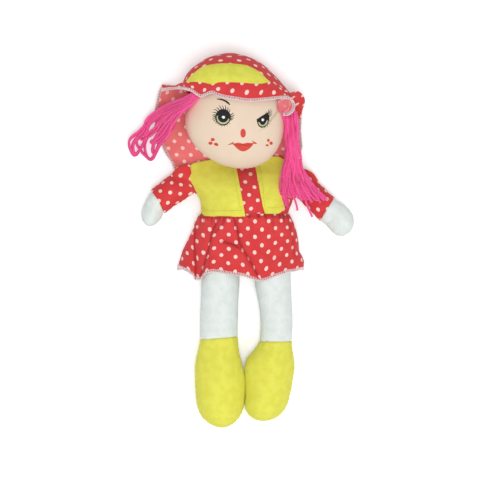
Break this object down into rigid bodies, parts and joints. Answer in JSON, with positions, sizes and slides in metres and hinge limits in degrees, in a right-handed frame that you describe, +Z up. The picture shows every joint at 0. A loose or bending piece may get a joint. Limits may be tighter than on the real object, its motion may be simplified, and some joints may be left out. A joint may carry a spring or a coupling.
{
  "type": "rag doll",
  "caption": "Stuffed cloth rag doll lying on its back, with a dotted dress and sun hat, felt waistcoat, felt boots and yarn hair.",
  "frame": {"origin": "on the flat of the doll's back, in the middle of the chest, on the surface that it lies on", "axes": "+X towards the doll's own left hand, +Y towards the top of its hat, +Z up from the surface, out of its face"},
  "size_m": [0.2399, 0.398, 0.0785],
  "materials": {
    "dotted_cotton": "red plain-weave cotton with white polka dots",
    "yellow_felt": "yellow felt",
    "white_felt": "white brushed tricot",
    "skin_tricot": "beige tricot with a printed face",
    "pink_yarn": "pink acrylic yarn",
    "fibre_filling": "loose polyester fibre"
  },
  "bodies": {
    "torso": {"dress_bodice": "dotted_cotton", "torso_filling": "fibre_filling", "vest_front_left": "yellow_felt", "vest_front_right": "yellow_felt", "vest_back": "yellow_felt", "skirt": "dotted_cotton"},
    "neck": {"neck": "skin_tricot"},
    "head": {"face_panel": "skin_tricot", "head_back_panel": "skin_tricot", "head_filling": "fibre_filling", "hat_crown": "dotted_cotton", "hat_front_panel": "yellow_felt", "hat_brim": "dotted_cotton", "hat_back_flap": "dotted_cotton", "hat_flap_end": "dotted_cotton", "hair_right": "pink_yarn", "hair_left": "pink_yarn"},
    "right_arm": {"sleeve_right": "dotted_cotton", "hand_right": "white_felt", "arm_filling_right": "fibre_filling"},
    "left_arm": {"sleeve_left": "dotted_cotton", "hand_left": "white_felt", "arm_filling_left": "fibre_filling"},
    "right_leg": {"leg_right": "white_felt", "boot_right": "yellow_felt", "leg_filling_right": "fibre_filling"},
    "left_leg": {"leg_left": "white_felt", "boot_left": "yellow_felt", "leg_filling_left": "fibre_filling"}
  },
  "joints": [
    {"name": "neck_nod", "type": "hinge", "parent": "torso", "child": "neck", "pos_m": [0, 0.039, 0.01], "axis": [1, 0, 0], "range_deg": [-20, 10], "deforming": ["neck", "hat_flap_end", "hair_left", "hair_right"]},
    {"name": "head_turn", "type": "hinge", "parent": "neck", "child": "head", "pos_m": [-0.005, 0.044, 0.022], "axis": [0, 1, 0], "range_deg": [-25, 25], "deforming": ["neck", "hat_flap_end", "hair_left", "hair_right"]},
    {"name": "right_shoulder", "type": "hinge", "parent": "torso", "child": "right_arm", "pos_m": [-0.0604, 0.014, 0.013], "axis": [0, 1, 0], "range_deg": [-40, 75]},
    {"name": "left_shoulder", "type": "hinge", "parent": "torso", "child": "left_arm", "pos_m": [0.0604, 0.0105, 0.013], "axis": [0, -1, 0], "range_deg": [-40, 75], "deforming": ["hair_left"]},
    {"name": "right_hip", "type": "hinge", "parent": "torso", "child": "right_leg", "pos_m": [-0.025, -0.053, 0.015], "axis": [-1, 0, 0], "range_deg": [-30, 90], "deforming": ["skirt"]},
    {"name": "left_hip", "type": "hinge", "parent": "torso", "child": "left_leg", "pos_m": [0.0283, -0.053, 0.015], "axis": [-1, 0, 0], "range_deg": [-30, 90], "deforming": ["skirt"]}
  ]
}
